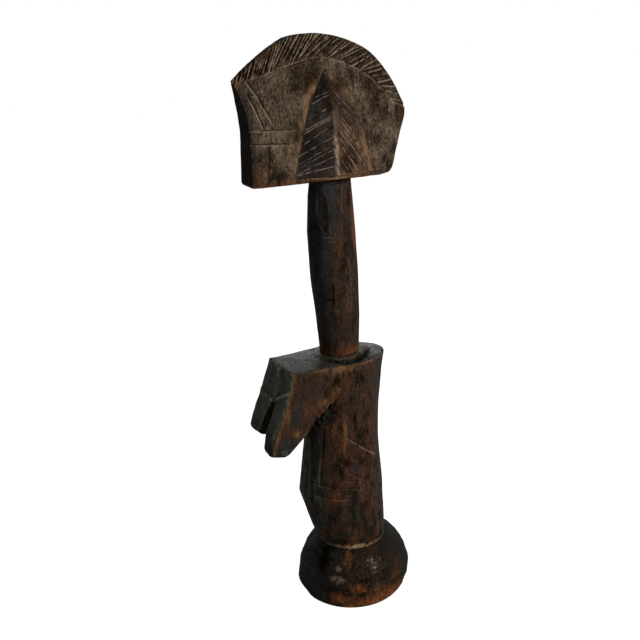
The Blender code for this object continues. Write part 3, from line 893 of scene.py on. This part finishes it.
def torso_field(x, y, z):
    field = bare_torso_field(x, y, z)
    field = smooth_max(field, TORSO_LOW - z, 0.4)
    for flat in TORSO_FLATS:
        field = dish(field, x, y, z, *flat)
    field = field + (x > 4) * cut_depth(SIDE_SCRATCHES + SCAR_LINES + ARMPIT_CUTS, y[0], z[0])[None]
    field = field + (y < -14) * cut_depth(FRONT_GROOVES, x[:, :, 0], z[0])[:, None, :]
    # a broken bead round the foot, under a narrow undercut
    field = field + 0.6 * np.exp(-(((z - TORSO_LOW - 2.3) / 0.5) ** 2))
    bead = 0.8 * np.exp(-(((z - TORSO_LOW - 0.9) / 0.8) ** 2))
    return field - bead * np.clip(1.5 - np.abs(y + 4) / 14, 0.2, 1)


def torso_relief(points):
    x, y, z = points.T
    swell = 0.16 * lumps(points, (6, 6, 9), 51, 2) + 0.07 * lumps(points, (1.3, 1.3, 16), 52)
    swell += 0.14 * ease(z, 75, 63) * ease(z, 32, 36) * lumps(points, (1.6, 1.6, 1.1), 57, 2)
    swell += 0.5 * neck_ring(x, y, z, 1.9) * lumps(points, (1.6, 1.6, 1.2), 58, 2)
    swell += 0.7 * armpit(y, z) * (x > 8) * lumps(points, (1.5, 1.5, 2.0), 59, 2)
    return swell


def breast_areas(points, normals, rough):
    """How far each place belongs to the front, inner side and edges of the breasts."""
    x, y, z = points.T
    high = ease(z, 95, 101)
    # the front with its downturned undersides, the inner sides in the cleft and the wrap take painted shade
    below = ease(-normals[:, 2], 0.5, 0.75) * (y < -30) * ease(x, 11.5, 9.5)
    wrap_y = along(z, CHEST_LEFT) + along(z, BREAST_WRAP)
    outer = (x > 9) & (z > 88)
    return {
        "front": most(ease(-normals[:, 1], 0.5, 0.7), below) * high,
        "inner": level((-normals[:, 0] * np.sign(x) - 0.3) * 3) * (y < -30),
        "wrap": level((wrap_y - y) / 0.5 + 0.5 + rough) * outer * (z < 118),
        "stripe": near(y - wrap_y - 0.9, 1, 1.3) * outer * (z < 124) * ragged(rough, 0.8, 1.2),
        "low_edge": near(y - z + 129.6, 1.3) * (x > 9) * ragged(rough, 0.5, 1.4) * ease(z, 104, 99),
        "tip": ease(y, -36, -46) * (x > 8) * ragged(rough, 0.4, 1.4) * ease(z, 104, 98),
        "side": ease(z, 92, 98) * ease(y, -22, -26),
    }


def shoulder_areas(points, normals, rough, fine):
    """How far each place belongs to the shoulders' top, its left brim and the rings round the neck."""
    x, y, z = points.T
    top = ease(normals[:, 2], 0.3, 0.55) * (z > 129.8)
    brim = ease(z, 126.6, 129) * (x > 8) * near(y + 12.5, 9, 1.25)
    brim = most(brim, ease(z, 129.2, 130) * (x > 6) * (y > -28))
    collar = near(from_neck(x, y) - 0.3, 0.5, 1.3) * (z > 131) * ease(x, 1, 5) * ragged(rough, 0.5, 1.5)
    return {
        "top": top,
        "brim": brim * ragged(rough, 0.55, 1.2) * (1 - top),
        "collar": collar,
        "mire": neck_ring(x, y, z, 2.0) * ragged(fine, 0.9, 1.2) * (1 - collar),
    }


def torso_masks(points, normals, bend):
    x, y, z = points.T
    left = x > 4
    broad = lumps(points, (6, 6, 12), 55, 2)
    rough = lumps(points, (2.4, 2.4, 5), 54, 3)
    fine = lumps(points, (0.8, 0.8, 1.2), 56, 2)
    breast = breast_areas(points, normals, rough)
    shoulder = shoulder_areas(points, normals, rough, fine)
    top, collar = shoulder["top"], shoulder["collar"]

    # knife work
    scratch = on_cuts(SIDE_SCRATCHES, points, -0.3) * level(0.25 + (y + 20) / 32 + 1.6 * fine)
    scar_light = 0.14 * on_cuts(beside(SCAR_LINES, -0.6), points, 0.1) * ragged(fine, 0.4, 2)
    scars = on_cuts(SCAR_LINES, points, 0.4) * ragged(rough, 0.6)
    torn = armpit(y, z) * ragged(fine, 0.7, 1.5)
    bead = level(1.5 - np.abs(z - TORSO_LOW - 0.9) / (0.8 + 0.5 * near(y + 10, 8, 1.3)))
    bead *= level(0.7 + 1.6 * fine + rough) * np.clip(1.2 - np.abs(y + 5) / 14, 0.25, 1) * (x > 0)

    # warm and worn places
    ray = near(y + 11.2, 1.1, 1.3) * ease(z, 80, 85) * ease(z, 106, 101) * left * ragged(rough, 0.6, 1.4)
    warm = most(ragged(broad, 0.25, 0.9) * 0.45, patches(WARM_PATCHES, y, z, 1.2, 0.4 * rough) * left * 0.8)
    tans = patches(TAN_PATCHES, y, z, 1.2, 0.8 * rough) * left * ragged(fine, 0.8, 1.3)

    # dark places: painted shade on the belly's front; darker rear and foot, and dull patches on the chest
    belly = level((along(z, BELLY_EDGE) - y) / 1.4 + 0.5 + 0.8 * rough) * ease(z, 101, 95)
    belly *= 1 - 0.5 * ease(z, 60, 56) * (x > 3)
    rear = ease(y, 4.5, 8.5) * ragged(rough, 0.85, 0.6)
    low = ease(z, 78, 64) * ragged(rough, 0.35, 1.5)
    dull = level(0.35 + 1.4 * rough + broad) * ease(z, 92, 98) * (y < -18) * (1 - 0.6 * breast["side"])

    # painted glints and sheen
    breast_gleam = breast["front"] * np.clip((z - 98) / 14, 0.1, 0.6) * ragged(rough, 0.85, 0.9)
    raised = level(bend / 0.06 - 0.1) * breast["front"] * ease(z, 90, 96)
    belly_gleam = np.clip(0.1 + 1.3 * lumps(points, (1.1, 1.1, 18), 60), 0, 0.3) * (z < 92)
    # painted shade on the fronts, undersides, wraps and inner sides; dark patina on the shoulder top and in
    # patches
    dark = most(
        belly,
        breast["front"],
        breast["wrap"],
        breast["inner"],
        top * 0.9,
        rear * 0.92,
        patches(DARK_PATCHES, y, z, 1.4, 0.8 * rough) * left * 0.9,
        low * 0.5,
        dull * 0.4,
    )
    # darker in hollows (dirt and painted shade), in the armpit's cuts, torn wood and scars, on a ring round
    # the neck's foot, and at random
    grime = most(
        level(-bend / 0.1 - 0.3) * 0.9 * (1 - collar),
        on_cuts(ARMPIT_CUTS, points, 1.2) * left,
        scars * left * 0.7,
        shoulder["mire"],
        torn * left * 0.95,
        np.clip(rough * 1.6 - 0.05, 0, 0.6) * (1 - 0.7 * breast["side"]),
    )
    return {
        "cut": most(scratch * left, scar_light * left, bead * near(y + 8, 9) * ragged(fine, 0.8, 1.5) * 0.9),
        "worn": most(
            level(bend / 0.11 - 0.4) * (1 - top) * 0.6,
            bead,
            shoulder["brim"],
            breast["tip"] * 0.3,
            breast["stripe"] * 0.5,
            breast["low_edge"] * 0.7,
            tans * 0.75,
            collar * 0.7,
            ray * 0.45,
        ),
        "rust": most(
            warm, shoulder["brim"] * 0.7, bead * 0.3, breast["tip"] * 0.6, breast["stripe"] * 0.8, ray * 0.8
        ),
        # painted sheen on the breasts' fronts, the shoulder top and the belly's front, and painted glints on
        # the raised ridges
        "sheen": most(
            breast_gleam * ease(x, 11.6, 10.4),
            raised * ragged(rough, 0.8),
            0.3 * top * ragged(rough, 0.6),
            belly * belly_gleam,
        ),
        "dark": dark * (1 - 0.8 * most(breast["stripe"], tans, collar)),
        "grime": grime * (1 - bead),
    }


# ---------------------------------------------------------------- base

BASE_TOP = 29.4
BASE_LEAN = [(0, -2.2), (2.5, -1.3), (6, -0.3), (12, 0.3), (30, 0.5)]
BASE_PROFILE = [(0, 28.2), (2.5, 29.3), (6.5, 29.7), (11, 29.4), (16, 28.0), (20.5, 25.7), (24.5, 22.2)]
BASE_PROFILE += [(27.5, 18.8), (29.4, 16.3), (31, 15.2)]
BASE_STROKES = 46
GOLDEN_ANGLE = 137.5
# Patches, each a middle in degrees round from the front and height, a half width and a half height.
PALE_PATCH = ((88, 22.3), 9, 3.2)
CHIPS = [((45, 15.6), 8, 1.8), ((44, 20.4), 5, 1.3)]
BASE_WARM = [((88, 3), 38, 7.5), ((67, 11.5), 8, 3.5), ((112, 13.5), 8, 3), ((46, 6), 14, 4)]
BASE_BLACK = [((40, 9.5), 20, 2), ((100, 17), 9, 4)]


def base_field(x, y, z):
    field = np.hypot(x, y - along(z, BASE_LEAN)) - along(z, BASE_PROFILE)
    field = smooth_max(field * 0.9, z - BASE_TOP, 0.8)
    field = smooth_max(field, -z, 0.8)
    random = np.random.default_rng(61)
    for index in range(BASE_STROKES):
        around = math.radians(index * GOLDEN_ANGLE) + random.uniform(-0.2, 0.2)
        height = random.uniform(3, 26)
        lean = float(along(height, BASE_LEAN))
        below, reach, above = (float(along(height + step, BASE_PROFILE)) for step in (-1, 0, 1))
        rise = (below - above) / 2 + random.uniform(-0.16, 0.16)
        turn = around + random.uniform(-0.14, 0.14)
        middle = (reach * math.cos(around), lean + reach * math.sin(around), height)
        out = (math.cos(turn), math.sin(turn), rise)
        if index % 3:
            field = facet(field, x, y, z, middle, out, random.uniform(0.15, 0.45))
        else:
            length, width = random.uniform(2.5, 6), random.uniform(1.8, 3.6)
            skew = random.uniform(50, 120)
            field = dish(field, x, y, z, middle, out, length, width, random.uniform(0.3, 0.7), skew)
    return field


def base_relief(points):
    swell = 0.35 * lumps(points, (6, 6, 5), 62, 3) + 0.13 * lumps(points, (1.2, 1.2, 2), 63, 2)
    return swell * level(points[:, 2] / 2)


def base_masks(points, normals, bend):
    x, y, z = points.T
    around = np.degrees(np.arctan2(x, -y))
    rough = lumps(points, (2.4, 2.4, 2.4), 64, 3)
    fine = lumps(points, (0.9, 0.9, 0.9), 65, 2)
    pale = patches([PALE_PATCH], around, z, 1.2, rough)
    chips = patches(CHIPS, around, z, 1.2, 0.6 * rough)
    warm = most(
        patches(BASE_WARM, around, z, 1.2, rough),
        0.6 * patch(around, z, (54, 24), 6, 4, 1.2, rough),
        0.35 * patch(around, z, (118, 19), 10, 5, 1.2, rough),
    )
    # painted shade on the sides turned from the light
    front_shade = level((50 - around) / 25 + 0.9 * rough) * (around > -90)
    rear_shade = level((around - 92) / 12 + 0.8 * rough) * level((z - 5) / 5 + rough) * 0.8
    black = most(
        patch(around, z, (24, 21.5), 11, 6, 1.2, 1.4 * rough),
        0.6 * patch(around, z, (76, 15.5), 12, 1.3, 1.2, 1.8 * rough),
        0.5 * patches(BASE_BLACK, around, z, 1.2, 1.8 * rough),
        0.4 * rear_shade,
    )
    return {
        "cut": most(pale * ragged(fine, -0.3, 4), chips * ragged(fine, 0.75, 2)),
        "worn": level(bend / 0.12 - 0.3) * ragged(rough, 0.6) * 0.5,
        "rust": most(ease(z, 4, 0) * ragged(rough, 0.3), warm * ragged(fine, 1, 1.5)),
        # the pale patch's own grey, and painted sheen mottled over the shaded front
        "sheen": most(pale * 0.6, np.clip(2.2 * rough - 0.1, 0, 0.4) * front_shade),
        # painted shade on the front, the right side and the rear
        "dark": most(front_shade, rear_shade) * (1 - 0.7 * warm),
        # darker in hollows (dirt and painted shade), at the top rim under the torso, and in black patches
        # with painted shade at the rear
        "grime": most(level(-bend / 0.12 - 0.2) * 0.8, ease(z, 28.2, 29.4) * 0.6, black * 0.9),
    }


# ---------------------------------------------------------------- wood


class Graph:
    """A material's node tree, built from the coordinates to the surface."""

    def __init__(self, name):
        self.material = bpy.data.materials.new(name)
        self.material.use_nodes = True
        self.nodes = self.material.node_tree.nodes
        self.links = self.material.node_tree.links
        self.shader = self.nodes["Principled BSDF"]
        self.output = self.nodes["Material Output"]

    def set(self, socket, value):
        if isinstance(value, bpy.types.NodeSocket):
            self.links.new(value, socket)
        else:
            socket.default_value = value

    def node(self, kind, inputs=None, **settings):
        made = self.nodes.new(kind)
        for key, value in settings.items():
            setattr(made, key, value)
        for key, value in (inputs or {}).items():
            self.set(made.inputs[key], value)
        return made

    def attribute(self, name):
        return self.node("ShaderNodeAttribute", attribute_name=name).outputs["Fac"]

    def math(self, operation, a, b=0.0, c=0.0, clamp=False):
        made = self.node("ShaderNodeMath", {0: a, 1: b, 2: c}, operation=operation)
        made.use_clamp = clamp
        return made.outputs[0]

    def noise(self, scale, detail=3.0, roughness=0.55, seed=0.0):
        """Noise whose lumps are the given widths in millimetres."""
        if not hasattr(self, "place"):
            self.place = self.node("ShaderNodeTexCoord").outputs["Object"]
        stretch = tuple(1 / (MM * size) for size in scale)
        mapped = self.node(
            "ShaderNodeMapping", {"Vector": self.place, "Scale": stretch, "Location": (seed, seed, seed)}
        ).outputs["Vector"]
        made = self.node(
            "ShaderNodeTexNoise",
            {"Vector": mapped, "Scale": 1.0, "Detail": detail, "Roughness": roughness},
        )
        return made.outputs["Fac"]

    def ramp(self, value, stops):
        """Turn a number into a colour by (place, colour) stops."""
        made = self.node("ShaderNodeValToRGB", {"Fac": value})
        ramp = made.color_ramp
        while len(ramp.elements) < len(stops):
            ramp.elements.new(0.5)
        for element, (place, colour) in zip(ramp.elements, stops):
            element.position = place
            element.color = (*colour, 1)
        return made.outputs["Color"]

    def range(self, value, low, high, out_low=0.0, out_high=1.0):
        made = self.node(
            "ShaderNodeMapRange",
            {"Value": value, "From Min": low, "From Max": high, "To Min": out_low, "To Max": out_high},
        )
        return made.outputs["Result"]

    def mix(self, share, a, b, blend="MIX"):
        made = self.node("ShaderNodeMix", data_type="RGBA", blend_type=blend)
        self.set(made.inputs[0], share)
        self.set(made.inputs[6], a)
        self.set(made.inputs[7], b)
        return made.outputs[2]


def tone(red, green, blue):
    """A linear colour from sRGB numbers up to 255."""
    shares = (red / 255, green / 255, blue / 255)
    return tuple(c / 12.92 if c <= 0.04 else ((c + 0.055) / 1.055) ** 2.4 for c in shares)


def look_of(streak, rough, gloss, **tones):
    """A wood's settings: how strong its streaks are, how rough and glossy it is, and its colours."""
    look = {name: tone(*numbers) for name, numbers in tones.items()}
    return look | {"streak": streak, "rough": rough, "gloss": gloss}


def wood_colour(g, look, mottle, blotch, streak, pore, grit):
    """The wood's colour: mottled and streaky, then what each mask lays over it."""

    def lay(base, share, key):
        return g.mix(share, base, (*look[key], 1))

    def uneven(mask, noise, low, high, least, greatest=1.0):
        return g.math("MULTIPLY", g.attribute(mask), g.range(noise, low, high, least, greatest))

    flecks = g.math("ADD", g.math("MULTIPLY", blotch, 0.5), g.math("MULTIPLY", grit, 0.5))
    # a near-black mottle laid by dark: painted shade on sides turned from the light, and dark patina
    shade = g.ramp(flecks, [(0.44, look["dark"]), (0.58, look["dark_pale"])])
    # a pale grey of painted sheen and reflections, rising to a painted glint; on the base also a grey patch
    # of its own
    gleam = g.ramp(g.attribute("sheen"), [(0.0, look["sheen"]), (0.6, look["sheen"]), (1.0, look["gleam"])])
    dark = uneven("dark", streak, 0.35, 0.55, 0.78)

    base = g.ramp(mottle, [(0.36, look["deep"]), (0.5, look["mid"]), (0.64, look["light"])])
    base = lay(base, g.range(blotch, 0.5, 0.66, 0, 0.75), "warm")
    base = lay(base, g.range(blotch, 0.5, 0.34, 0, 0.8), "deep")
    base = lay(base, uneven("pale", blotch, 0.4, 0.6, 0.3), "pale")
    base = lay(base, g.range(streak, 0.5, 0.68, 0, look["streak"]), "deep")
    base = lay(base, g.range(streak, 0.5, 0.34, 0, look["streak"] * 0.8), "pale")
    base = lay(base, g.range(grit, 0.5, 0.6, 0, 0.75), "deep")
    base = lay(base, g.range(grit, 0.48, 0.38, 0, 0.5), "pale")
    # the pores darkened with the dirt tone
    base = lay(base, g.range(pore, 0.6, 0.7, 0, 0.5), "grime")
    base = lay(base, uneven("rust", blotch, 0.36, 0.6, 0.25), "rust")
    base = lay(base, uneven("worn", blotch, 0.36, 0.56, 0.3), "worn")
    base = g.mix(dark, base, shade)
    base = lay(base, uneven("plum", flecks, 0.4, 0.56, 0.35, 0.8), "plum")
    base = g.mix(uneven("sheen", flecks, 0.42, 0.56, 0.5), base, gleam)
    # dirt and stains, with painted shade in hollows, under overhangs and on faces turned from the light
    base = lay(base, uneven("grime", blotch, 0.3, 0.6, 0.7), "grime")
    base = lay(base, g.attribute("cut"), "cut")
    speck = g.noise((0.45, 0.45, 0.45), 1, 0.5, 7)
    return lay(base, g.range(speck, 0.765, 0.785, 0, 0.6), "speck"), dark


def wood(name, look):
    g = Graph(name)
    mottle = g.noise((6, 6, 13), 6, 0.65, 3)
    blotch = g.noise((1.7, 1.7, 3.6), 6, 0.7, 9)
    streak = g.noise((0.5, 0.5, 11), 4, 0.65, 1)
    pore = g.noise((0.25, 0.25, 2.6), 3, 0.6, 5)
    grit = g.noise((0.75, 0.75, 1.3), 3, 0.65, 15)
    colour, dark = wood_colour(g, look, mottle, blotch, streak, pore, grit)

    rough = g.range(mottle, 0.36, 0.64, look["rough"] - 0.07, look["rough"] + 0.1)
    rough = g.math("ADD", rough, g.math("MULTIPLY", g.attribute("grime"), 0.2), clamp=True)
    rough = g.math("SUBTRACT", rough, g.math("MULTIPLY", g.attribute("dark"), 0.1), clamp=True)
    gloss = g.math("ADD", look["gloss"], g.math("MULTIPLY", dark, 0.2))
    gloss = g.math("SUBTRACT", gloss, g.math("MULTIPLY", g.attribute("grime"), 0.35), clamp=True)

    fine = g.math("ADD", g.math("MULTIPLY", streak, 0.8), g.math("MULTIPLY", pore, 0.5))
    coarse = g.math("ADD", g.math("MULTIPLY", blotch, 1.4), g.math("MULTIPLY", grit, 1.6))
    height = g.math("ADD", fine, coarse)
    bump = g.node("ShaderNodeBump", {"Height": height, "Strength": 0.9, "Distance": 0.5 * MM})
    g.set(g.shader.inputs["Base Color"], colour)
    g.set(g.shader.inputs["Roughness"], rough)
    g.set(g.shader.inputs["Specular IOR Level"], gloss)
    g.set(g.shader.inputs["Normal"], bump.outputs["Normal"])
    return g.material


SHARED_TONES = {"plum": (56, 30, 26), "speck": (170, 160, 145)}
# The dark tones serve painted shade and dark patina, the sheen and glint tones painted reflections.
LOOKS = {
    "head": look_of(
        0.28, 0.6, 0.2, **SHARED_TONES,
        deep=(36, 26, 18), mid=(84, 68, 51), light=(124, 102, 78), warm=(100, 73, 49), pale=(156, 132, 104),
        rust=(140, 76, 34), worn=(196, 148, 100), dark=(24, 23, 19), dark_pale=(50, 40, 31),
        grime=(24, 17, 12), cut=(204, 180, 152), sheen=(78, 80, 70), gleam=(110, 110, 98),
    ),
    "neck": look_of(
        0.5, 0.5, 0.2, **SHARED_TONES,
        deep=(24, 16, 11), mid=(52, 35, 24), light=(78, 55, 38), warm=(80, 44, 26), pale=(98, 74, 54),
        rust=(150, 80, 36), worn=(150, 104, 66), dark=(15, 15, 12), dark_pale=(44, 40, 32),
        grime=(14, 10, 8), cut=(120, 98, 74), sheen=(60, 62, 52), gleam=(84, 84, 72),
    ),
    "torso": look_of(
        0.5, 0.5, 0.2, **SHARED_TONES,
        deep=(26, 17, 10), mid=(60, 39, 24), light=(88, 60, 38), warm=(88, 50, 26), pale=(110, 80, 52),
        rust=(140, 78, 34), worn=(196, 146, 94), dark=(19, 20, 16), dark_pale=(50, 47, 36),
        grime=(15, 11, 8), cut=(214, 180, 138), sheen=(148, 153, 134), gleam=(204, 208, 190),
    ),
    "base": look_of(
        0.3, 0.5, 0.12, **SHARED_TONES,
        deep=(20, 15, 10), mid=(46, 34, 24), light=(76, 58, 42), warm=(82, 48, 27), pale=(108, 84, 60),
        rust=(178, 104, 50), worn=(150, 116, 84), dark=(16, 17, 13), dark_pale=(46, 44, 34),
        grime=(12, 9, 7), cut=(186, 158, 134), sheen=(76, 80, 68), gleam=(112, 114, 100),
    ),
}  # fmt: skip

# ---------------------------------------------------------------- pieces

# Each mass: its box, the width of its field's cells, its shape, its small relief and its masks.
MASSES = {
    "head": ((-13, -54.6, 217.4), (13, 28.6, 280.4), HEAD_CELL, head_field, head_relief, head_masks),
    "neck": ((-11, -23, NECK_LOW), (11, 5.4, NECK_HIGH), NECK_CELL, neck_field, neck_relief, neck_masks),
    "torso": (
        (-18.6, -51.4, TORSO_LOW), (18.6, 17.6, 133.8), TORSO_CELL, torso_field, torso_relief, torso_masks,
    ),
    "base": ((-29.9, -31, 0), (29.9, 30.4, 29.8), BASE_CELL, base_field, base_relief, base_masks),
}  # fmt: skip

for node, (low, high, width, field_of, relief_of, masks_of) in MASSES.items():
    x, y, z, cell = axes_of(low, high, width)
    points, faces = surface(field_of(x, y, z), x, y, z, cell)
    normals = normals_of(points, faces)
    points += normals * relief_of(points)[:, None]
    bend = spread(bend_of(points, faces, 6), faces, 2)
    piece = make_piece("carved_" + node, points, faces, masks_of(points, normals, bend))
    slot = node + "_wood"
    piece.data.materials.append(wood("carved_" + slot, LOOKS[node]))
    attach(piece, "root")
    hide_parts(node)

# ---------------------------------------------------------------- studio

scene = bpy.context.scene
scene.view_settings.view_transform = "Standard"
FLOOR_SIZE = 4.0
FLOOR_STEPS = 8


def plain(name, colour, roughness, glow):
    g = Graph(name)
    grain = g.noise((400, 400, 400), 2, 0.5)
    shade = g.ramp(grain, [(0.3, tuple(c * 0.985 for c in colour)), (0.7, colour)])
    g.set(g.shader.inputs["Base Color"], shade)
    g.set(g.shader.inputs["Roughness"], roughness)
    seen = g.node("ShaderNodeLightPath").outputs["Is Camera Ray"]
    g.set(g.shader.inputs["Emission Color"], (1, 1, 1, 1))
    g.set(g.shader.inputs["Emission Strength"], g.math("MULTIPLY", seen, glow))
    return g.material


def add_floor():
    mesh = bpy.data.meshes.new("floor")
    places = [FLOOR_SIZE * (step / FLOOR_STEPS - 0.5) for step in range(FLOOR_STEPS + 1)]
    row = len(places)
    corners = [j * row + i for j in range(FLOOR_STEPS) for i in range(FLOOR_STEPS)]
    faces = [(corner, corner + 1, corner + row + 1, corner + row) for corner in corners]
    mesh.from_pydata([(x, y, 0) for y in places for x in places], [], faces)
    floor = bpy.data.objects.new("floor", mesh)
    scene.collection.objects.link(floor)
    mesh.materials.append(plain("paper", (0.4, 0.4, 0.4), 0.95, 1.0))


def add_light(name, place, aim, size, power):
    light = bpy.data.lights.new(name, "AREA")
    light.shape = "RECTANGLE"
    light.size, light.size_y = size
    light.energy = power
    lamp = bpy.data.objects.new(name, light)
    lamp.location = place
    lamp.rotation_euler = (Vector(aim) - Vector(place)).to_track_quat("-Z", "Y").to_euler()
    scene.collection.objects.link(lamp)


def add_world(light, backdrop):
    """A white surround, brighter to the camera than it is as a light."""
    world = bpy.data.worlds.new("studio")
    scene.world = world
    world.use_nodes = True
    nodes, links = world.node_tree.nodes, world.node_tree.links
    nodes.clear()
    seen = nodes.new("ShaderNodeLightPath").outputs["Is Camera Ray"]
    strength = nodes.new("ShaderNodeMapRange")
    strength.inputs["To Min"].default_value = light
    strength.inputs["To Max"].default_value = backdrop
    links.new(seen, strength.inputs["Value"])
    background = nodes.new("ShaderNodeBackground")
    background.inputs["Color"].default_value = (1, 1, 1, 1)
    links.new(strength.outputs["Result"], background.inputs["Strength"])
    links.new(background.outputs["Background"], nodes.new("ShaderNodeOutputWorld").inputs["Surface"])


def add_camera():
    """A long view from the doll's front left, a little above its middle, with a slight roll."""
    place = Vector((0.32076, -0.16344, 0.275))
    aim = Vector((0, -0.0166, 0.1505))
    roll = math.radians(-1.5)
    ahead = (aim - place).normalized()
    right = ahead.cross(Vector((0, 0, 1))).normalized()
    up = right.cross(ahead)
    right, up = right * math.cos(roll) + up * math.sin(roll), up * math.cos(roll) - right * math.sin(roll)
    camera = bpy.data.objects.new("camera", bpy.data.cameras.new("camera"))
    camera.data.sensor_width = 36
    camera.data.lens = 43.91
    camera.data.clip_start = 0.01
    camera.matrix_world = Matrix((right, up, -ahead)).transposed().to_4x4()
    camera.location = place
    scene.collection.objects.link(camera)
    scene.camera = camera


add_floor()
add_light("key", (0.52, 0.45, 0.3), (0, 0, 0.15), (0.3, 0.4), 3.4)
add_light("back", (-0.6, 0.3, 0.36), (0, 0, 0.15), (0.4, 0.5), 1.4)
add_light("fill", (0.1, -0.75, 0.3), (0, 0, 0.12), (0.5, 0.5), 0.5)
add_world(0.05, 1.0)
add_camera()
